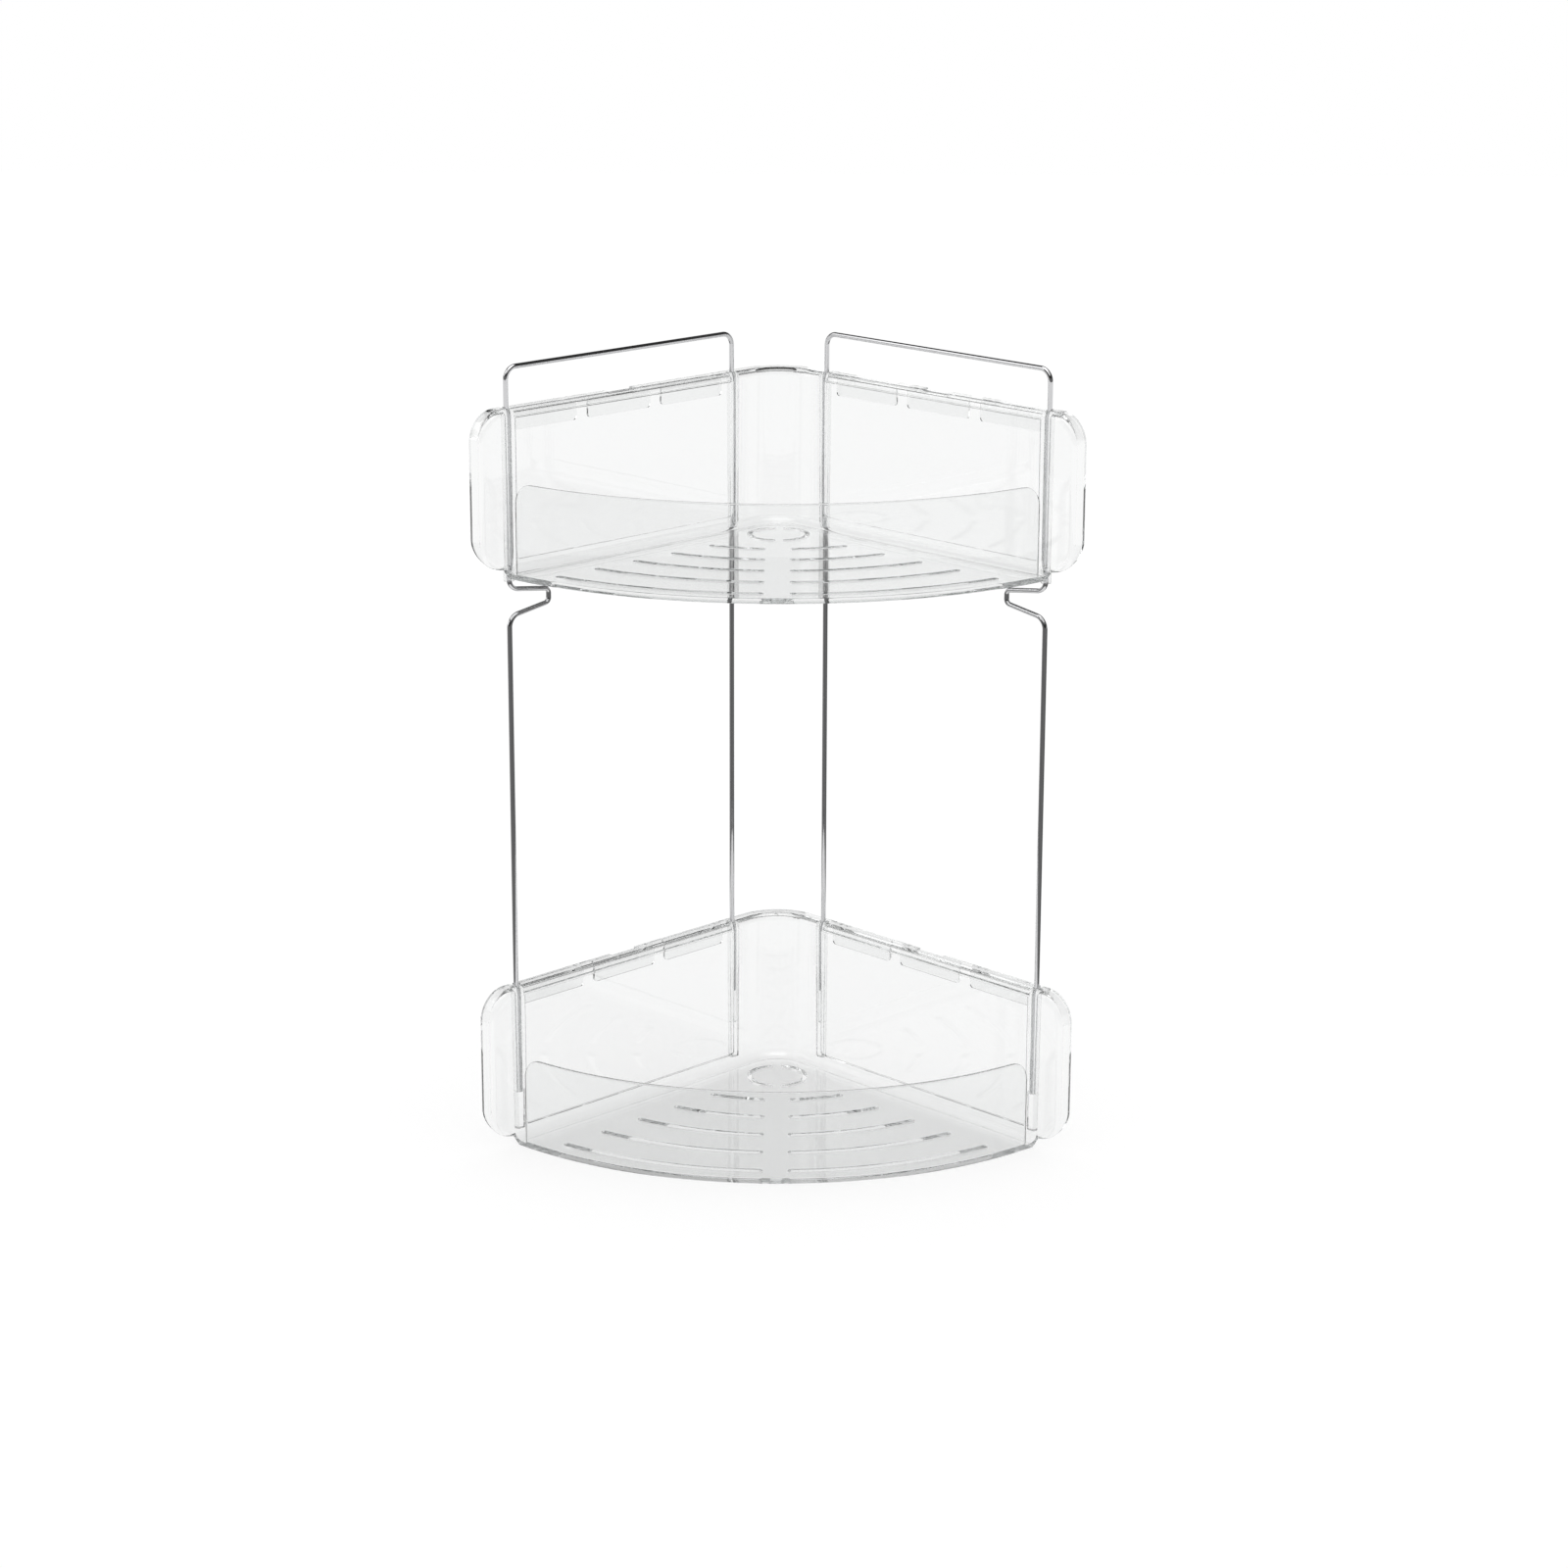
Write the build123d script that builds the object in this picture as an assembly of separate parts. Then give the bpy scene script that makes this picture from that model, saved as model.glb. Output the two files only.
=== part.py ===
import math
import os

from build123d import *

# Sizes are in millimetres. Plan places are measured from the corner where the two wire frames'
# planes meet, with the shelf opening towards -Y and a wall along each side at 45 degrees.
# Along a wall, "station" is the distance from that corner and "offset" is measured outwards.

# Wire frames
wire_diameter = 2.5
inner_leg_station = 33.6
outer_leg_inset = 19.9      # from the front edge of the walls' ends
leg_depth = 55.0            # outer legs reach this far below the lower shelf's rim
inner_leg_rise = 17.0       # inner legs end this far above the outer ones
leg_end_chamfer = 0.4
top_bar_rise = 19.3         # centre line of the top bar above the upper shelf's rim
top_bend_radius = 6.0
jog_reach = 25.0            # from the outer leg towards the inner leg
jog_mouth = 13.8            # between the jog's arms at the leg
jog_neck = 6.6              # between the arms at the far end
jog_leg_radius = 6.0
jog_neck_radius = 2.7

# Fits
leg_clearance = 0.3         # radial, between a leg and its sleeve
socket_end_gap = 0.3        # below a leg's end in the lower shelf
seat_lead = 1.2             # the jog's upper bend starts this far inside the shelf's collar

# Shelves
tier_pitch = 288.0
shelf_height = 80.5
floor_thickness = 2.4
wall_thickness = 2.2
sleeve_web = 0.25           # plastic between a sleeve's bore and the wall's outer face
corner_inset = 21.0         # centre of the rounded back corner, inside both frame planes
floor_fillet = 4.8
front_radius = 187.5        # front edge of the floor
wing_reach = 14.0           # front edge of the walls' ends, beyond the floor's
wing_top_radius = 15.0
wing_foot_radius = 17.0

# Panels of the walls between the legs, set outwards
panel_set = 1.2             # from the rest of the wall
panel_leg_margin = 2.4      # from a leg's axis to the panel's edge
panel_rim_margin = 0.6      # below the rim's rounding
panel_foot_margin = 0.6     # above the floor's rounded join
panel_head_slope = 0.8      # height of the sloping step at the panel's upper edge
panel_corner_radius = 2.0   # lower corners

# Rim flange, its hanging tabs and the shallow notch in the middle of each rim
flange_thickness = 2.3
rim_inner_round = 1.3       # rounding from the wall's outer face onto the flange's underside
flange_margin = 0.85        # flange beyond the sleeves
underside_height = 22.0     # below this the walls' feet and the wings' flange curve under
underside_radius = 27.0
underside_lead = 0.3
tab_count = 3
tab_gap = 7.4
tab_end_gap = 5.2           # from a leg to the nearest tab
tab_drop = 11.6             # below the rim
tab_thickness = 1.2
tab_corner_radius = 2.0
notch_length = 17.0
notch_depth = 0.9

# Sleeves
sleeve_wall_top = 1.6
sleeve_wall_foot = 1.0
sleeve_foot_height = 6.0    # lower end of the lower shelf's sleeves
sleeve_mouth = 2.1          # snap-in opening along the outer legs' sleeves
collar_drop = 3.0           # outer sleeves of the upper shelf, below its floor

# Front lip
lip_height = 47.0
lip_thickness = 2.2
lip_side_gap = 7.5          # between the lip's end and the wall
lip_corner_radius = 10.0
lip_edge_round = 0.8

# Drain slots in the floor
slot_rows = 5
slot_front_margin = 12.0    # from the floor's front edge to the first row
slot_pitch = 24.2
slot_width = 3.6
slot_wall_margin = 28.0     # from the frame plane to a slot's end
strip_width = 12.0          # plain strip along the middle
ring_distance = 44.0        # ring slot's centre in front of the corner
ring_radius = 14.5
ring_slot_width = 2.4
ring_bridge = 4.0

# Values that follow from the sizes above
wire_radius = wire_diameter / 2
bore_radius = wire_radius + leg_clearance
wing_radius = front_radius + wing_reach
outer_leg_station = wing_radius - outer_leg_inset
leg_spacing = outer_leg_station - inner_leg_station
wall_outer = -(bore_radius + sleeve_web)
wall_inner = wall_outer - wall_thickness
rim_round = rim_inner_round + wall_thickness
sleeve_top_radius = bore_radius + sleeve_wall_top
sleeve_foot_radius = bore_radius + sleeve_wall_foot
flange_overhang = sleeve_top_radius + flange_margin
panel_foot = floor_thickness + floor_fillet + panel_foot_margin
panel_head = shelf_height - rim_round - panel_rim_margin
half_root = math.sqrt(0.5)
corner_centre_y = -corner_inset / half_root
back_edge_y = corner_centre_y + corner_inset + flange_overhang
centre_shift = (front_radius - back_edge_y) / 2
far_reach = wing_radius + front_radius
beyond = 10.0               # how far cutters reach past what they cut
standing = (Align.CENTER, Align.CENTER, Align.MIN)


def corner_plan(offset, reach=far_reach):
    # Plan area between the two walls, its sides at one offset and its back corner rounded.
    radius = corner_inset + offset
    tangent = radius * half_root
    right = (tangent, corner_centre_y + tangent)
    left = (-tangent, corner_centre_y + tangent)
    sides = Polyline(left, (left[0] - reach, left[1] - reach), (right[0] + reach, right[1] - reach), right)
    corner = ThreePointArc(right, (0, corner_centre_y + radius), left)
    return make_face(sides + corner)


def lower_corner_edges(solid):
    # The lowest edges along both walls and round the back corner, without the far front edge.
    lowest = solid.edges().group_by(Axis.Z)[0]
    return lowest.sort_by(Axis.Y)[1:]


def both_sides(piece):
    # A piece made along the X axis, turned onto the right wall and mirrored onto the left one.
    right = Rot(0, 0, -45) * piece
    return [right, mirror(right, about=Plane.YZ)]


def foot_curve(inset=0, drop=0):
    # Half section of the curve that joins the floor's front edge to the walls' ends.
    turn = math.acos((wing_foot_radius - wing_reach) / wing_foot_radius)
    height = floor_thickness + wing_foot_radius * math.sin(turn) - drop
    centre = (wing_radius - wing_foot_radius, height)
    return CenterArc(centre, wing_foot_radius - inset, -math.degrees(turn), math.degrees(turn))


def front_solid():
    # Solid of revolution inside which the walls end: the floor's front edge, foot curve and wing.
    curve = foot_curve()
    wing = curve @ 1
    above = shelf_height + beyond
    rest = Polyline(wing, (wing.X, above), (0, above), (0, 0), (front_radius, 0), curve @ 0)
    return revolve(Plane.XZ * make_face(curve + rest), Axis.Z)


def rim_block(inset, offset, radius, foot_drop=0):
    # Everything outside one wall face and under the rim, with the edge between them rounded. The
    # rounding runs on from the back corner along the rim, down the walls' ends and under the foot.
    top_centre = (wing_radius - wing_top_radius, shelf_height - wing_top_radius)
    top_curve = CenterArc(top_centre, wing_top_radius - inset, 0, 90)
    low_curve = foot_curve(inset, foot_drop)
    wing_line = Line(low_curve @ 1, top_curve @ 0)
    under = low_curve @ 0 - low_curve % 0 * front_radius / 2
    rest = Polyline(top_curve @ 1, (0, shelf_height - inset), (0, under.Y), under, low_curve @ 0)
    block = revolve(Plane.XZ * make_face(low_curve + wing_line + top_curve + rest), Axis.Z)
    inside = extrude(corner_plan(offset, far_reach + beyond), 2 * (shelf_height + front_radius))
    block -= Pos(0, 0, -front_radius) * inside
    back = (0, corner_centre_y + corner_inset + offset, shelf_height - inset)
    first_edge = block.edges().sort_by_distance(back)[0]
    return fillet(first_edge, radius)


def rolled_walls():
    # Both walls with the flange rolled outwards along the rim and down the walls' ends. The
    # flange thickens by the floor's thickness towards the foot, where the underside narrows it.
    walls = rim_block(0, wall_inner, rim_round)
    walls -= rim_block(flange_thickness, wall_outer, rim_inner_round, floor_thickness)
    return walls & extrude(corner_plan(flange_overhang), shelf_height) & front_solid()


def floor_plate():
    # Floor with a rounded join up the inside of the walls, whose middle its own edge reaches.
    edge_height = floor_thickness + floor_fillet + wall_thickness / 2
    slab = extrude(corner_plan(wall_outer - wall_thickness / 2), edge_height)
    inside = extrude(corner_plan(wall_inner, far_reach + beyond), shelf_height)
    inside = fillet(lower_corner_edges(inside), floor_fillet)
    plate = slab - Pos(0, 0, floor_thickness) * inside
    return plate & Cylinder(front_radius, edge_height, align=standing)


def underside_cutters():
    # Curve that turns the walls' feet under the floor and narrows the wings' flange to nothing. It
    # starts just outside the flange, so that it crosses the flange's face and doesn't only touch it.
    start = flange_overhang + underside_lead
    turn = math.degrees(math.asin(underside_height / underside_radius))
    curve = CenterArc((start - underside_radius, underside_height), underside_radius, -turn, turn)
    low = curve @ 0
    clear = start + beyond
    outline = Polyline(curve @ 1, (clear, underside_height), (clear, -beyond), (low.X, -beyond), low)
    section = make_face(curve + outline)
    along_wall = extrude(Plane.YZ.offset(corner_inset) * section, far_reach, dir=(1, 0, 0))
    corner_start = Plane((0, 0, 0), x_dir=(1, 1, 0), z_dir=(1, -1, 0)) * Pos(corner_inset, 0, 0) * section
    round_corner = Pos(0, corner_centre_y, 0) * revolve(corner_start, Axis.Z, 90)
    return both_sides(along_wall) + [round_corner]


def panel_pads():
    # Outer faces of the set-out panels, which run from one sleeve into the other.
    middle = wall_outer - wall_thickness / 2
    lowest = (Align.MIN, Align.MIN, Align.MIN)
    pad = Box(leg_spacing, wall_thickness / 2 + panel_set, panel_head - panel_foot, align=lowest)
    return both_sides(Pos(inner_leg_station, middle, panel_foot) * pad)


def panel_pockets():
    # Hollows behind the set-out panels, cut from inside the shelf. The upper step slopes, as a mould
    # needs it to, and the lower corners are rounded.
    clear = wall_inner - panel_set
    deep = wall_inner + panel_set
    slope_foot = (deep, panel_head - panel_head_slope)
    slope_head = (wall_inner, panel_head)
    outline = Polyline(
        (clear, panel_foot), (deep, panel_foot), slope_foot, slope_head, (clear, panel_head), close=True
    )
    side = Plane.YZ.offset(inner_leg_station + panel_leg_margin)
    pocket = extrude(side * make_face(outline), leg_spacing - 2 * panel_leg_margin, dir=(1, 0, 0))
    low_corners = pocket.edges().filter_by(Axis.Y).group_by(Axis.Z)[0]
    return both_sides(fillet(low_corners, panel_corner_radius))


def rim_tabs():
    # Tabs that hang from the flange's outer edge between the legs.
    span = leg_spacing - 2 * tab_end_gap
    tab_width = (span - (tab_count - 1) * tab_gap) / tab_count
    tab = Box(tab_width, tab_thickness, tab_drop, align=(Align.MIN, Align.MAX, Align.MAX))
    low_corners = tab.edges().filter_by(Axis.Y).group_by(Axis.Z)[0]
    tab = fillet(low_corners, tab_corner_radius)
    tabs = []
    for number in range(tab_count):
        station = inner_leg_station + tab_end_gap + number * (tab_width + tab_gap)
        tabs += both_sides(Pos(station, flange_overhang, shelf_height) * tab)
    return tabs


def rim_notches():
    # Shallow notch across the outer part of the flange, in the middle of each rim.
    centred = (Align.CENTER, Align.MIN, Align.CENTER)
    notch = Box(notch_length, flange_overhang + beyond, 2 * notch_depth, align=centred)
    return both_sides(Pos(inner_leg_station + leg_spacing / 2, 0, shelf_height) * notch)


def sleeve(station, foot):
    # Tapered boss round one leg, from a foot height up into the flange.
    height = shelf_height - flange_thickness / 2 - foot
    cone = Cone(sleeve_foot_radius, sleeve_top_radius, height, align=standing)
    return Pos(station, 0, foot) * cone


def bore(station, foot):
    # Clear hole for one leg, from a foot height up through the rim.
    hole = Cylinder(bore_radius, shelf_height + beyond - foot, align=standing)
    return Pos(station, 0, foot) * hole


def mouth(foot):
    # Opening that lets an outer leg snap sideways into its sleeve.
    height = shelf_height + beyond - foot
    gap = Box(sleeve_mouth, flange_overhang + beyond, height, align=(Align.CENTER, Align.MIN, Align.MIN))
    return Pos(outer_leg_station, 0, foot) * gap


def front_lip():
    # Curved guard on the floor's front edge, with rounded top corners and open ends.
    half_turn = 45 - math.degrees(math.asin((lip_side_gap - wall_inner) / front_radius))
    outer = CenterArc((0, 0), front_radius, -90 - half_turn, 2 * half_turn)
    inner = CenterArc((0, 0), front_radius - lip_thickness, -90 - half_turn, 2 * half_turn)
    plan = make_face(outer + inner + Line(outer @ 0, inner @ 0) + Line(outer @ 1, inner @ 1))
    lip = extrude(plan, lip_height)
    top_ends = lip.edges().group_by(Axis.Z)[-1].filter_by(GeomType.LINE)
    lip = fillet(top_ends, lip_corner_radius)
    top_edges = lip.edges().group_by(Axis.Z)[-1].filter_by(GeomType.CIRCLE)
    return fillet(top_edges, lip_edge_round)


def drain_slots():
    # Rows of curved slots on both sides of the plain strip, and a split ring near the back corner.
    slots = []
    for row in range(slot_rows):
        radius = front_radius - slot_front_margin - row * slot_pitch
        start = math.degrees(math.asin((strip_width + slot_width) / 2 / radius))
        end = 45 - math.degrees(math.asin(slot_wall_margin / radius))
        for first in (start, -end):
            path = CenterArc((0, 0), radius, first - 90, end - start)
            slots.append(SlotArc(path, slot_width))
    bridge = math.degrees(math.asin((ring_bridge + ring_slot_width) / 2 / ring_radius))
    for first in (bridge - 90, bridge + 90):
        path = CenterArc((0, -ring_distance), ring_radius, first, 180 - 2 * bridge)
        slots.append(SlotArc(path, ring_slot_width))
    return [Pos(0, 0, -beyond) * extrude(slot, floor_thickness + 2 * beyond) for slot in slots]


def make_shelf(legs_pass):
    # One shelf: legs pass through the upper one and end in blind sockets in the lower one.
    socket_foot = shelf_height - leg_depth - socket_end_gap
    outer_foot = -collar_drop if legs_pass else sleeve_foot_height
    inner_foot = 0 if legs_pass else sleeve_foot_height
    hole_foot = -collar_drop - beyond if legs_pass else socket_foot
    shelf = rolled_walls() + floor_plate() - underside_cutters()
    shelf += panel_pads()
    shelf -= panel_pockets()
    shelf += front_lip()
    shelf += rim_tabs()
    shelf += both_sides(sleeve(inner_leg_station, inner_foot))
    shelf += both_sides(sleeve(outer_leg_station, outer_foot))
    shelf -= drain_slots() + rim_notches()
    shelf -= both_sides(bore(inner_leg_station, hole_foot))
    shelf -= both_sides(bore(outer_leg_station, hole_foot))
    shelf -= both_sides(mouth(hole_foot))
    return shelf


def make_wire_frame():
    # One bent wire in the XZ plane: inner leg, top bar, and outer leg with its jog under the upper shelf.
    arm_slope = math.atan((jog_mouth - jog_neck) / 2 / jog_reach)
    bend_length = jog_leg_radius * math.tan((math.pi / 2 - arm_slope) / 2)
    foot = shelf_height - leg_depth
    top = tier_pitch + shelf_height + top_bar_rise
    upper_arm = tier_pitch - collar_drop + seat_lead - bend_length
    jog_middle = upper_arm - jog_mouth / 2
    jog_station = outer_leg_station - jog_reach
    corners = [
        (inner_leg_station, 0, foot + inner_leg_rise),
        (inner_leg_station, 0, top),
        (outer_leg_station, 0, top),
        (outer_leg_station, 0, upper_arm),
        (jog_station, 0, jog_middle + jog_neck / 2),
        (jog_station, 0, jog_middle - jog_neck / 2),
        (outer_leg_station, 0, upper_arm - jog_mouth),
        (outer_leg_station, 0, foot),
    ]
    radii = [top_bend_radius] * 2 + [jog_leg_radius, jog_neck_radius, jog_neck_radius, jog_leg_radius]
    path = FilletPolyline(*corners, radius=radii)
    section = Plane(path @ 0, z_dir=path % 0) * Circle(wire_radius)
    wire = sweep(section, path)
    end_faces = [wire.faces().sort_by_distance(corner)[0] for corner in (corners[0], corners[-1])]
    leg_ends = [face.edge() for face in end_faces]
    return chamfer(leg_ends, leg_end_chamfer)


place = Pos(0, centre_shift, 0)
right_frame, left_frame = both_sides(make_wire_frame())

os.makedirs("parts", exist_ok=True)
export_step(place * make_shelf(legs_pass=False), "parts/lower_shelf.step")
export_step(place * Pos(0, 0, tier_pitch) * make_shelf(legs_pass=True), "parts/upper_shelf.step")
export_step(place * left_frame, "parts/left_wire_frame.step")
export_step(place * right_frame, "parts/right_wire_frame.step")
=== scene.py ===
import math

import bpy
import numpy as np
from mathutils import Matrix, Vector


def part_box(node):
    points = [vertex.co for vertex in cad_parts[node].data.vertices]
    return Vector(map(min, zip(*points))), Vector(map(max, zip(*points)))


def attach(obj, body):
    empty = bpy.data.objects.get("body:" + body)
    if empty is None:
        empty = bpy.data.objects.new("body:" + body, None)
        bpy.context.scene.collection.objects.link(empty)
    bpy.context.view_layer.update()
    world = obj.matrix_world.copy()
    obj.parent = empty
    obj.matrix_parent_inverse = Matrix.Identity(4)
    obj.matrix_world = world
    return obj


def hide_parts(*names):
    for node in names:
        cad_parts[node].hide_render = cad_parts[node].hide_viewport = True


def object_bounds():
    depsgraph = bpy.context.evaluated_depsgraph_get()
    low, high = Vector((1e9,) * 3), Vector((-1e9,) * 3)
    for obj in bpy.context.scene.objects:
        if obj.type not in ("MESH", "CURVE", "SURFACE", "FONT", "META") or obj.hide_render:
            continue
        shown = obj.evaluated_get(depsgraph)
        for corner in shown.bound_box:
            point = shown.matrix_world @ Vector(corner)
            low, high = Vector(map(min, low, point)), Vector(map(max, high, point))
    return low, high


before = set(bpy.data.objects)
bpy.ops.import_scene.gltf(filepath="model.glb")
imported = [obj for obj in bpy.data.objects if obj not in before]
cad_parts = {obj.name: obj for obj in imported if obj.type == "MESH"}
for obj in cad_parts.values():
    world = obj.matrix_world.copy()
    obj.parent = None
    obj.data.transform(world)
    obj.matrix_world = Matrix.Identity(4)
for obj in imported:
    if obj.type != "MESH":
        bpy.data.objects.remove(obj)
cadLow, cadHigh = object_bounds()
print("frame loaded:", sorted(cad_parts))

scene = bpy.context.scene
scene.view_settings.view_transform = "Standard"
bounceLimit = 48              # light crosses many clear faces in the rims and the floor's edge
scene.cycles.max_bounces = bounceLimit
scene.cycles.transmission_bounces = bounceLimit
scene.cycles.glossy_bounces = bounceLimit


# camera: stands in front and above, found from where the legs, rims and floors lie in the photograph
cameraSet = {
    "place": (0.0106, -1.7789, 0.6857),
    "downTilt": 16.013,       # degrees below the horizon
    "turn": 0.234,            # degrees to the left
    "roll": 0.182,
    "focalPixels": 3818.1,    # focal length in pixels of the photograph
    "framePixels": 1600,
    "sensorWidth": 36.0,
    "nearClip": 0.05,
    "farClip": 50.0,
}


def makeCamera(settings):
    data = bpy.data.cameras.new("photoCamera")
    data.sensor_width = settings["sensorWidth"]
    data.lens = settings["focalPixels"] / settings["framePixels"] * settings["sensorWidth"]
    data.clip_start = settings["nearClip"]
    data.clip_end = settings["farClip"]
    camera = bpy.data.objects.new("photoCamera", data)
    scene.collection.objects.link(camera)
    heading = Matrix.Rotation(math.radians(settings["turn"]), 4, "Z")
    tilt = Matrix.Rotation(math.radians(90 - settings["downTilt"]), 4, "X")
    roll = Matrix.Rotation(math.radians(settings["roll"]), 4, "Z")
    camera.matrix_world = Matrix.Translation(settings["place"]) @ heading @ tilt @ roll
    scene.camera = camera


makeCamera(cameraSet)
print("camera placed")


# node helpers
def addNode(tree, kind, place, **values):
    node = tree.nodes.new(kind)
    node.location = place
    for key, value in values.items():
        setattr(node, key, value)
    return node


def setInputs(node, **values):
    for key, value in values.items():
        node.inputs[key.replace("_", " ")].default_value = value


def newMaterial(name):
    material = bpy.data.materials.new(name)
    material.use_nodes = True
    tree = material.node_tree
    tree.nodes.clear()
    out = addNode(tree, "ShaderNodeOutputMaterial", (700, 0))
    return material, tree, out


# shared effect: soft patches where a polished surface is a little duller, and a slow wave in it
polishSet = {
    "patchDetail": 4.0,
    "patchRoughness": 0.55,
    "patchStart": 0.42,       # noise level where a patch begins
    "patchFull": 0.72,        # and where it is fully dull
    "waveDetail": 1.0,
    "waveRoughness": 0.4,
}


def polishedSurfaceGroup(settings):
    group = bpy.data.node_groups.new("polishedSurface", "ShaderNodeTree")
    sockets = group.interface
    sockets.new_socket("Vector", in_out="INPUT", socket_type="NodeSocketVector")
    for name in ("Patch Scale", "Wave Scale", "Clean", "Dull"):
        sockets.new_socket(name, in_out="INPUT", socket_type="NodeSocketFloat")
    for name in ("Roughness", "Wave"):
        sockets.new_socket(name, in_out="OUTPUT", socket_type="NodeSocketFloat")
    given = addNode(group, "NodeGroupInput", (-600, 0))
    made = addNode(group, "NodeGroupOutput", (500, 0))
    patches = addNode(group, "ShaderNodeTexNoise", (-300, 150))
    setInputs(patches, Detail=settings["patchDetail"], Roughness=settings["patchRoughness"])
    spread = addNode(group, "ShaderNodeMapRange", (0, 150), interpolation_type="SMOOTHSTEP")
    setInputs(spread, From_Min=settings["patchStart"], From_Max=settings["patchFull"])
    wave = addNode(group, "ShaderNodeTexNoise", (-300, -200))
    setInputs(wave, Detail=settings["waveDetail"], Roughness=settings["waveRoughness"])
    group.links.new(given.outputs["Vector"], patches.inputs["Vector"])
    group.links.new(given.outputs["Patch Scale"], patches.inputs["Scale"])
    group.links.new(given.outputs["Vector"], wave.inputs["Vector"])
    group.links.new(given.outputs["Wave Scale"], wave.inputs["Scale"])
    group.links.new(patches.outputs[0], spread.inputs["Value"])
    group.links.new(given.outputs["Clean"], spread.inputs["To Min"])
    group.links.new(given.outputs["Dull"], spread.inputs["To Max"])
    group.links.new(spread.outputs["Result"], made.inputs["Roughness"])
    group.links.new(wave.outputs[0], made.inputs["Wave"])
    return group


polishedSurface = polishedSurfaceGroup(polishSet)


def addPolish(tree, settings):
    where = addNode(tree, "ShaderNodeTexCoord", (-700, 0))
    polish = addNode(tree, "ShaderNodeGroup", (-450, 0), node_tree=polishedSurface)
    setInputs(polish, Patch_Scale=settings["patchScale"], Wave_Scale=settings["waveScale"])
    setInputs(polish, Clean=settings["clean"], Dull=settings["dull"])
    bump = addNode(tree, "ShaderNodeBump", (0, -250))
    setInputs(bump, Strength=settings["waveStrength"], Distance=settings["waveDepth"])
    tree.links.new(where.outputs["Object"], polish.inputs["Vector"])
    tree.links.new(polish.outputs["Wave"], bump.inputs["Height"])
    return polish, bump


# clear plastic: polished moulding with a trace of grey in its thickness
plasticSet = {
    "ior": 1.5,
    "colour": (0.93, 0.934, 0.933, 1),
    "sheetTint": (0.945, 0.948, 0.948, 1),
    "sheetDensity": 30.0,     # how fast the tint builds up, per metre
    "patchScale": 18.0,       # per metre
    "waveScale": 30.0,
    "clean": 0.0,             # roughness where the moulding is bright
    "dull": 0.02,
    "waveStrength": 0.05,
    "waveDepth": 0.0004,
}


def clearPlastic(settings):
    material, tree, out = newMaterial("clearPlastic")
    shader = addNode(tree, "ShaderNodeBsdfPrincipled", (300, 100))
    setInputs(shader, IOR=settings["ior"], Transmission_Weight=1.0)
    shader.inputs["Base Color"].default_value = settings["colour"]
    polish, bump = addPolish(tree, settings)
    tree.links.new(polish.outputs["Roughness"], shader.inputs["Roughness"])
    tree.links.new(bump.outputs["Normal"], shader.inputs["Normal"])
    inside = addNode(tree, "ShaderNodeVolumeAbsorption", (300, -500))
    setInputs(inside, Color=settings["sheetTint"], Density=settings["sheetDensity"])
    tree.links.new(shader.outputs["BSDF"], out.inputs["Surface"])
    tree.links.new(inside.outputs["Volume"], out.inputs["Volume"])
    return material


# bright chrome plating over drawn wire, whose fine lengthwise lines still show a little
chromeSet = {
    "colour": (0.62, 0.62, 0.63, 1),
    "patchScale": 60.0,
    "waveScale": 90.0,
    "clean": 0.03,
    "dull": 0.1,
    "waveStrength": 0.1,
    "waveDepth": 0.0002,
    "linesAround": 14.0,      # drawn lines round the wire
    "linesAlong": 9.0,        # and their changes per metre along it
    "lineDetail": 3.0,
    "lineRoughness": 0.05,
}


def brightChrome(settings):
    material, tree, out = newMaterial("brightChrome")
    shader = addNode(tree, "ShaderNodeBsdfPrincipled", (300, 100))
    setInputs(shader, Metallic=1.0)
    shader.inputs["Base Color"].default_value = settings["colour"]
    polish, bump = addPolish(tree, settings)
    along = addNode(tree, "ShaderNodeUVMap", (-900, 350), uv_map="wireRun")
    stretch = addNode(tree, "ShaderNodeMapping", (-700, 350))
    stretch.inputs["Scale"].default_value = (settings["linesAround"], settings["linesAlong"], 1)
    lines = addNode(tree, "ShaderNodeTexNoise", (-450, 350), noise_dimensions="2D")
    setInputs(lines, Scale=1.0, Detail=settings["lineDetail"])
    shallow = addNode(tree, "ShaderNodeMath", (-200, 350), operation="MULTIPLY")
    shallow.inputs[1].default_value = settings["lineRoughness"]
    total = addNode(tree, "ShaderNodeMath", (0, 200), operation="ADD")
    tree.links.new(along.outputs["UV"], stretch.inputs["Vector"])
    tree.links.new(stretch.outputs["Vector"], lines.inputs["Vector"])
    tree.links.new(lines.outputs[0], shallow.inputs[0])
    tree.links.new(shallow.outputs[0], total.inputs[0])
    tree.links.new(polish.outputs["Roughness"], total.inputs[1])
    tree.links.new(total.outputs[0], shader.inputs["Roughness"])
    tree.links.new(bump.outputs["Normal"], shader.inputs["Normal"])
    tree.links.new(shader.outputs["BSDF"], out.inputs["Surface"])
    return material


plastic = clearPlastic(plasticSet)
chrome = brightChrome(chromeSet)
print("materials made")


# shelves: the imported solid's own triangles, welded and given smooth normals so that the clear sheet
# bends light as a polished moulding does
shelfSet = {
    "weldStep": 1e-6,         # metres
    "sharpAngle": 32.0,       # degrees between faces that keep a hard edge
}


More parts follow.
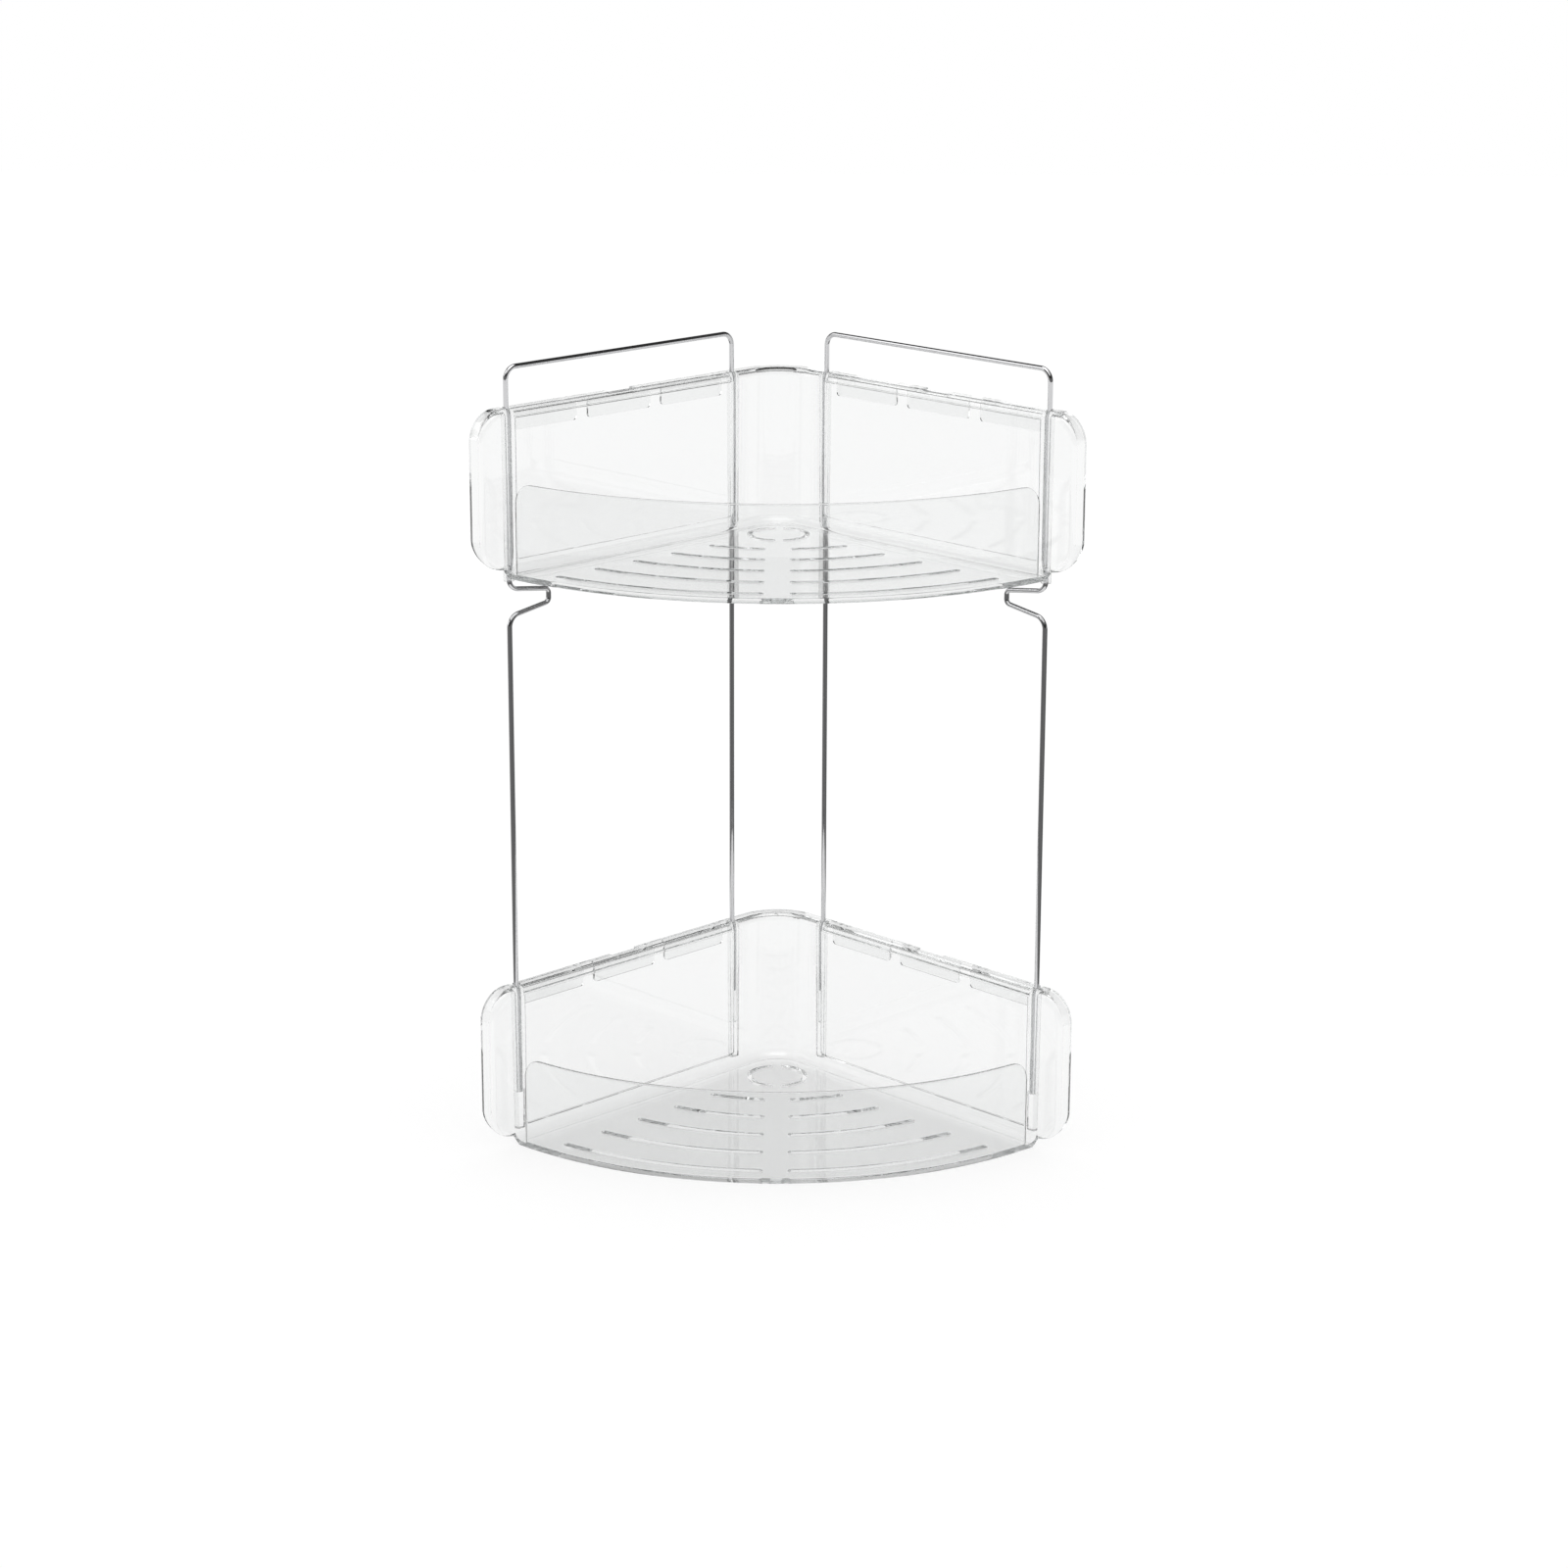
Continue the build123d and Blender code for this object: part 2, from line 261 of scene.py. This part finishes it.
def weldedCopy(node, name, settings):
    # corner points rounded to the weld step, equal ones made one,
    # and triangles with two equal corners left out
    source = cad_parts[node].data
    source.calc_loop_triangles()
    points = np.empty(len(source.vertices) * 3)
    source.vertices.foreach_get("co", points)
    corners = np.empty(len(source.loop_triangles) * 3, dtype=np.int32)
    source.loop_triangles.foreach_get("vertices", corners)
    keys = np.round(points.reshape(-1, 3) / settings["weldStep"]).astype(np.int64)
    _, first, same = np.unique(keys, axis=0, return_index=True, return_inverse=True)
    welded = points.reshape(-1, 3)[first]
    faces = same.reshape(-1)[corners].reshape(-1, 3)
    whole = (faces[:, 0] != faces[:, 1]) & (faces[:, 1] != faces[:, 2]) & (faces[:, 2] != faces[:, 0])
    mesh = bpy.data.meshes.new(name)
    mesh.from_pydata(welded.tolist(), [], faces[whole].tolist())
    mesh.shade_smooth()
    mesh.set_sharp_from_angle(angle=math.radians(settings["sharpAngle"]))
    piece = bpy.data.objects.new(name, mesh)
    scene.collection.objects.link(piece)
    normals = piece.modifiers.new("faceNormals", "WEIGHTED_NORMAL")
    normals.mode = "FACE_AREA"
    normals.keep_sharp = True
    return piece


for node, body in (("lower_shelf", "lower_tier"), ("upper_shelf", "upper_tier")):
    shelf = weldedCopy(node, node + "_moulding", shelfSet)
    shelf.data.materials.append(plastic)
    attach(shelf, body)
    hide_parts(node)
print("shelves made")


# wire frames: one bent wire on each side, whose legs, top and feet lie where the frame's box says
wireSet = {
    "radius": 0.00125,
    "innerLegRise": 0.017,    # the inner leg ends higher than the outer one
    "topBend": 0.006,
    "seatLead": 0.0012,       # the jog's upper bend starts this far inside the upper shelf's collar
    "jogReach": 0.025,
    "jogMouth": 0.0138,
    "jogNeck": 0.0066,
    "jogLegBend": 0.006,
    "jogNeckBend": 0.0027,
    "endChamfer": 0.0004,
    "sides": 32,
    "bendSteps": 14,
    "flatten": 0.03,          # share by which a bend thins the wire in its plane and widens it across
    "sharpAngle": 30.0,       # degrees between faces that keep a hard edge
}


def roundedRoute(corners, bends, steps):
    # straight runs joined by arcs: each arc touches both runs at bend * tan(turn / 2) from their corner
    points = [corners[:1]]
    turns = [np.zeros(1)]
    for before, corner, after, bend in zip(corners, corners[1:], corners[2:], bends):
        come = (corner - before) / np.linalg.norm(corner - before)
        go = (after - corner) / np.linalg.norm(after - corner)
        turn = math.atan2(come[0] * go[1] - come[1] * go[0], come @ go)
        side = np.array([-come[1], come[0]]) * math.copysign(1, turn)
        start = corner - come * bend * math.tan(abs(turn) / 2)
        angle = np.linspace(0, abs(turn), steps + 1)[:, None]
        points.append(start + bend * (np.sin(angle) * come + (1 - np.cos(angle)) * side))
        turns.append(np.sin(np.linspace(0, math.pi, steps + 1)))
    points.append(corners[-1:])
    turns.append(np.zeros(1))
    return np.concatenate(points), np.concatenate(turns)


def wireRoute(node, settings):
    # stations along the wall's plane and heights, from the node's box and the upper shelf's collar
    low, high = (np.array(corner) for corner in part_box(node))
    radius = settings["radius"]
    nearX = min(abs(low[0]), abs(high[0])) + radius
    farX = max(abs(low[0]), abs(high[0])) - radius
    inner, outer = nearX * math.sqrt(2), farX * math.sqrt(2)
    cornerY = high[1] - radius + nearX
    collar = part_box("upper_shelf")[0][2]
    slope = math.atan2((settings["jogMouth"] - settings["jogNeck"]) / 2, settings["jogReach"])
    bendLength = settings["jogLegBend"] * math.tan((math.pi / 2 - slope) / 2)
    upperArm = collar + settings["seatLead"] - bendLength
    neckTop = upperArm - (settings["jogMouth"] - settings["jogNeck"]) / 2
    top = high[2] - radius
    neck = outer - settings["jogReach"]
    corners = np.array([
        (inner, low[2] + settings["innerLegRise"]),
        (inner, top),
        (outer, top),
        (outer, upperArm),
        (neck, neckTop),
        (neck, neckTop - settings["jogNeck"]),
        (outer, upperArm - settings["jogMouth"]),
        (outer, low[2]),
    ])
    bends = [settings["topBend"]] * 2 + [settings["jogLegBend"], settings["jogNeckBend"]]
    bends += [settings["jogNeckBend"], settings["jogLegBend"]]
    route, bent = roundedRoute(corners, bends, settings["bendSteps"])
    side = math.copysign(1, low[0] + high[0])
    return route, bent, cornerY, side


def bentWire(name, node, settings):
    # circle carried along the route: centre + radius * (cos * in-plane normal + sin * plane's normal),
    # a little flatter in the bends, with a chamfer ring and a flat cap at both ends
    route, bent, cornerY, side = wireRoute(node, settings)
    sides = settings["sides"]
    chamfer = settings["endChamfer"]
    ahead = np.gradient(route, axis=0)
    ahead[1:-1] = route[2:] - route[:-2]
    ahead /= np.linalg.norm(ahead, axis=1)[:, None]
    route = np.concatenate([route[:1], route[:1] + ahead[:1] * chamfer, route[1:-1],
                            route[-1:] - ahead[-1:] * chamfer, route[-1:]])
    ahead = np.concatenate([ahead[:1], ahead, ahead[-1:]])
    bent = np.concatenate([bent[:1], bent, bent[-1:]])
    radius = np.full(len(route), settings["radius"])
    radius[[0, -1]] -= chamfer
    length = np.concatenate([[0], np.cumsum(np.linalg.norm(np.diff(route, axis=0), axis=1))])
    angle = np.linspace(0, 2 * math.pi, sides, endpoint=False)
    across = np.stack([-ahead[:, 1], ahead[:, 0]], axis=1)
    inPlane = (radius * (1 - settings["flatten"] * bent))[:, None] * np.cos(angle)
    offPlane = (radius * (1 + settings["flatten"] * bent))[:, None] * np.sin(angle)
    station = route[:, :1] + across[:, :1] * inPlane
    height = route[:, 1:] + across[:, 1:] * inPlane
    half = math.sqrt(0.5)
    x = side * half * (station + offPlane)
    y = cornerY - half * (station - offPlane)
    points = np.stack([x, y, height], axis=2).reshape(-1, 3)
    ring = np.arange(len(route) - 1)[:, None] * sides
    column = np.arange(sides)[None, :]
    after = (column + 1) % sides
    quads = np.stack([ring + column, ring + after, ring + sides + after, ring + sides + column], axis=2)
    quads = quads.reshape(-1, 4)
    around = np.stack([column, column + 1, column + 1, column], axis=2) / sides
    around = np.broadcast_to(around, (len(route) - 1, sides, 4))
    run = np.stack([length[:-1], length[:-1], length[1:], length[1:]], axis=1)
    run = np.broadcast_to(run[:, None, :], (len(route) - 1, sides, 4))
    wireRun = np.stack([around, run], axis=3).reshape(-1, 4, 2)
    startCap = np.arange(sides)[::-1]
    endCap = np.arange(sides) + (len(route) - 1) * sides
    if side > 0:
        quads = quads[:, ::-1]
        wireRun = wireRun[:, ::-1]
        startCap, endCap = startCap[::-1], endCap[::-1]
    mesh = bpy.data.meshes.new(name)
    mesh.from_pydata(points.tolist(), [], quads.tolist() + [startCap.tolist(), endCap.tolist()])
    layer = mesh.uv_layers.new(name="wireRun")
    layer.data.foreach_set("uv", np.concatenate([wireRun.reshape(-1), np.zeros(4 * sides)]))
    mesh.shade_smooth()
    mesh.set_sharp_from_angle(angle=math.radians(settings["sharpAngle"]))
    piece = bpy.data.objects.new(name, mesh)
    scene.collection.objects.link(piece)
    piece.data.materials.append(chrome)
    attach(piece, "wire_frames")
    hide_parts(node)


bentWire("left_bent_wire", "left_wire_frame", wireSet)
bentWire("right_bent_wire", "right_wire_frame", wireSet)
print("wires made")


# floor and studio
studioSet = {
    "floorSize": 8.0,
    "floorDrop": 0.0002,      # the floor lies just under the lower shelf, so that the two faces don't mix
    "floorColour": (0.2, 0.2, 0.2, 1),
    "floorLift": 0.82,        # light added where the floor is seen, so that it comes out white
    "diffuseLevel": 1.0,      # even light from all sides on the floor
    "glossTilt": 15.0,        # degrees by which the room leans forward, so that it is paler behind
    "glassTilt": 30.0,
    "glassSides": 0.25,       # how much sooner the room that glass shows turns dark towards the sides
    "glassBand": 0.15,        # up to about this height glass shows a white background on every side
    "bandEdge": 8.0,          # how sharply that band ends
    # heights in the room from -1 to 1, each with the grey that is seen there
    "glassRoom": ((-1.0, 1.0), (-0.25, 1.0), (-0.18, 0.55), (0.1, 0.55), (0.18, 0.03),
                  (0.8, 0.03), (0.88, 1.0), (1.0, 1.0)),
    "glossRoom": ((-1.0, 1.0), (0.0, 1.0), (0.06, 0.6), (0.14, 0.04), (0.7, 0.04), (0.8, 1.0), (1.0, 1.0)),
}


def makeFloor(settings):
    half = settings["floorSize"] / 2
    drop = -settings["floorDrop"]
    mesh = bpy.data.meshes.new("paleFloor")
    edge = [(-half, -half, drop), (half, -half, drop), (half, half, drop), (-half, half, drop)]
    mesh.from_pydata(edge, [], [(0, 1, 2, 3)])
    floor = bpy.data.objects.new("paleFloor", mesh)
    scene.collection.objects.link(floor)
    material, tree, out = newMaterial("paleFloor")
    lit = addNode(tree, "ShaderNodeBsdfDiffuse", (0, 100))
    lit.inputs["Color"].default_value = settings["floorColour"]
    glow = addNode(tree, "ShaderNodeEmission", (0, -100))
    path = addNode(tree, "ShaderNodeLightPath", (-700, -200))
    both = addNode(tree, "ShaderNodeMath", (-450, -150), operation="MAXIMUM")
    seen = addNode(tree, "ShaderNodeMath", (-300, -150), operation="MAXIMUM")
    lift = addNode(tree, "ShaderNodeMath", (-150, -150), operation="MULTIPLY")
    lift.inputs[1].default_value = settings["floorLift"]
    total = addNode(tree, "ShaderNodeAddShader", (350, 0))
    tree.links.new(path.outputs["Is Camera Ray"], both.inputs[0])
    tree.links.new(path.outputs["Is Glossy Ray"], both.inputs[1])
    tree.links.new(both.outputs[0], seen.inputs[0])
    tree.links.new(path.outputs["Is Transmission Ray"], seen.inputs[1])
    tree.links.new(seen.outputs[0], lift.inputs[0])
    tree.links.new(lift.outputs[0], glow.inputs["Strength"])
    tree.links.new(lit.outputs[0], total.inputs[0])
    tree.links.new(glow.outputs[0], total.inputs[1])
    tree.links.new(total.outputs[0], out.inputs["Surface"])
    mesh.materials.append(material)


def addHeight(tree, place, where, tilt):
    # height of a direction along an up that leans forward by the tilt, from -1 to 1
    lean = math.radians(tilt)
    height = addNode(tree, "ShaderNodeVectorMath", place, operation="DOT_PRODUCT")
    height.inputs[1].default_value = (0, -math.sin(lean), math.cos(lean))
    tree.links.new(where.outputs["Generated"], height.inputs[0])
    return height


def addRamp(tree, place, height, levels):
    # grey levels against a height from -1 to 1
    rise = addNode(tree, "ShaderNodeMapRange", (place[0] - 250, place[1]))
    setInputs(rise, From_Min=-1.0, From_Max=1.0)
    ramp = addNode(tree, "ShaderNodeValToRGB", place)
    tree.links.new(height, rise.inputs["Value"])
    tree.links.new(rise.outputs["Result"], ramp.inputs["Fac"])
    stops = ramp.color_ramp.elements
    for start, _ in levels[1:-1]:
        stops.new((start + 1) / 2)
    for stop, (_, grey) in zip(stops, levels):
        stop.color = (grey, grey, grey, 1)
    return ramp


def addGlassHeight(tree, where, settings):
    # leaning height, raised by a share of how far the direction points aside,
    # and kept low in the white band
    height = addHeight(tree, (-900, 0), where, settings["glassTilt"])
    split = addNode(tree, "ShaderNodeSeparateXYZ", (-1100, 250))
    aside = addNode(tree, "ShaderNodeMath", (-900, 250), operation="ABSOLUTE")
    raised = addNode(tree, "ShaderNodeMath", (-700, 0), operation="MULTIPLY_ADD")
    raised.inputs[1].default_value = settings["glassSides"]
    above = addNode(tree, "ShaderNodeMath", (-900, 450), operation="MULTIPLY_ADD")
    above.inputs[1].default_value = settings["bandEdge"]
    above.inputs[2].default_value = -settings["bandEdge"] * settings["glassBand"]
    capped = addNode(tree, "ShaderNodeMath", (-600, 200), operation="MINIMUM")
    tree.links.new(where.outputs["Generated"], split.inputs[0])
    tree.links.new(split.outputs["X"], aside.inputs[0])
    tree.links.new(aside.outputs[0], raised.inputs[0])
    tree.links.new(height.outputs["Value"], raised.inputs[2])
    tree.links.new(split.outputs["Z"], above.inputs[0])
    tree.links.new(raised.outputs[0], capped.inputs[0])
    tree.links.new(above.outputs[0], capped.inputs[1])
    return capped


def makeWorld(settings):
    # white where it is looked at directly, an even light on the floor, and in gloss and glass a room
    # that is white low down, dark higher up and white again at the ceiling
    world = bpy.data.worlds.new("studio")
    scene.world = world
    world.use_nodes = True
    tree = world.node_tree
    tree.nodes.clear()
    out = addNode(tree, "ShaderNodeOutputWorld", (900, 0))
    shine = addNode(tree, "ShaderNodeBackground", (700, 0))
    shine.inputs["Color"].default_value = (1, 1, 1, 1)
    path = addNode(tree, "ShaderNodeLightPath", (-300, 300))
    where = addNode(tree, "ShaderNodeTexCoord", (-1300, 0))
    glassHeight = addGlassHeight(tree, where, settings)
    glossHeight = addHeight(tree, (-900, -250), where, settings["glossTilt"])
    glass = addRamp(tree, (-250, 0), glassHeight.outputs[0], settings["glassRoom"])
    gloss = addRamp(tree, (-250, -250), glossHeight.outputs["Value"], settings["glossRoom"])
    room = addNode(tree, "ShaderNodeMix", (50, -100), data_type="FLOAT")
    even = addNode(tree, "ShaderNodeMix", (250, 0), data_type="FLOAT")
    even.inputs["B"].default_value = settings["diffuseLevel"]
    white = addNode(tree, "ShaderNodeMix", (400, 0), data_type="FLOAT")
    white.inputs["B"].default_value = 1.0
    # a ray that leaves the plastic counts as glossy too, so the two rooms are told apart by transmission
    tree.links.new(path.outputs["Is Transmission Ray"], room.inputs["Factor"])
    tree.links.new(gloss.outputs["Color"], room.inputs["A"])
    tree.links.new(glass.outputs["Color"], room.inputs["B"])
    tree.links.new(path.outputs["Is Diffuse Ray"], even.inputs["Factor"])
    tree.links.new(room.outputs["Result"], even.inputs["A"])
    tree.links.new(path.outputs["Is Camera Ray"], white.inputs["Factor"])
    tree.links.new(even.outputs["Result"], white.inputs["A"])
    tree.links.new(white.outputs["Result"], shine.inputs["Strength"])
    tree.links.new(shine.outputs[0], out.inputs["Surface"])


# cards standing round the object, open at the back, which only gloss sees: they glow grey, dark to pale in
# streaks, as painted reflections on the chrome and the plastic
cardSet = {
    "radius": 0.34,
    "bands": ((0.001, 0.255), (0.37, 0.45)),    # heights, with a gap that keeps the upper lip bright
    "open": 80.0,             # degrees left open behind the object
    "steps": 48,
    # how strongly the cards glow, from dark to pale: painted light that shows only in reflections
    "dark": 0.08,
    "pale": 0.3,
    "streakScale": 7.0,
    "streakDetail": 2.0,
    "streakStart": 0.35,      # noise levels between which a streak goes from dark to pale
    "streakEnd": 0.65,
}


def makeCards(settings):
    # upright bands of a cylinder: angle round the object and height are the two parameters
    middle = (np.array(cadLow) + np.array(cadHigh)) / 2
    gap = math.radians(settings["open"]) / 2
    angle = np.linspace(math.pi / 2 + gap, math.pi * 5 / 2 - gap, settings["steps"] + 1)
    ring = np.stack([middle[0] + settings["radius"] * np.cos(angle),
                     middle[1] + settings["radius"] * np.sin(angle)], axis=1)
    count = len(ring)
    heights = np.array(settings["bands"]).reshape(-1)
    rings = [np.column_stack([ring, np.full(count, height)]) for height in heights]
    first = np.arange(settings["steps"])
    quads = np.stack([first, first + 1, first + 1 + count, first + count], axis=1)
    quads = np.concatenate([quads + 2 * count * band for band in range(len(settings["bands"]))])
    mesh = bpy.data.meshes.new("glowingCards")
    mesh.from_pydata(np.concatenate(rings).tolist(), [], quads.tolist())
    cards = bpy.data.objects.new("glowingCards", mesh)
    scene.collection.objects.link(cards)
    material, tree, out = newMaterial("glowingCards")
    where = addNode(tree, "ShaderNodeTexCoord", (-900, 0))
    stretch = addNode(tree, "ShaderNodeMapping", (-700, 0))
    stretch.inputs["Scale"].default_value = (settings["streakScale"], settings["streakScale"], 0)
    streaks = addNode(tree, "ShaderNodeTexNoise", (-450, 0))
    setInputs(streaks, Scale=1.0, Detail=settings["streakDetail"])
    level = addNode(tree, "ShaderNodeMapRange", (-200, 0))
    setInputs(level, From_Min=settings["streakStart"], From_Max=settings["streakEnd"])
    setInputs(level, To_Min=settings["dark"], To_Max=settings["pale"])
    # the cards' streaked grey is glow: painted reflection light, seen only by gloss
    glow = addNode(tree, "ShaderNodeEmission", (100, 0))
    tree.links.new(where.outputs["Object"], stretch.inputs["Vector"])
    tree.links.new(stretch.outputs["Vector"], streaks.inputs["Vector"])
    tree.links.new(streaks.outputs[0], level.inputs["Value"])
    tree.links.new(level.outputs["Result"], glow.inputs["Strength"])
    tree.links.new(glow.outputs[0], out.inputs["Surface"])
    mesh.materials.append(material)
    cards.visible_camera = False
    cards.visible_diffuse = False
    cards.visible_transmission = False
    cards.visible_shadow = False


# softboxes that show in gloss and glass alone, so that the floor stays even
softboxSet = {
    "overhead": {"place": (0.0, -0.1, 1.5), "size": (0.9, 0.9), "power": 3.5},
    "left": {"place": (-1.3, 0.0, 0.9), "size": (1.0, 1.2), "power": 6.0},
}


def makeSoftbox(name, settings):
    data = bpy.data.lights.new(name + "Softbox", "AREA")
    data.shape = "RECTANGLE"
    data.size, data.size_y = settings["size"]
    data.energy = settings["power"]
    lamp = bpy.data.objects.new(name + "Softbox", data)
    scene.collection.objects.link(lamp)
    middle = (Vector(cadLow) + Vector(cadHigh)) / 2
    lamp.location = settings["place"]
    lamp.rotation_euler = (middle - lamp.location).to_track_quat("-Z", "Y").to_euler()
    lamp.visible_diffuse = False
    lamp.visible_camera = False


makeFloor(studioSet)
makeWorld(studioSet)
makeCards(cardSet)
for name, settings in softboxSet.items():
    makeSoftbox(name, settings)
print("studio made")
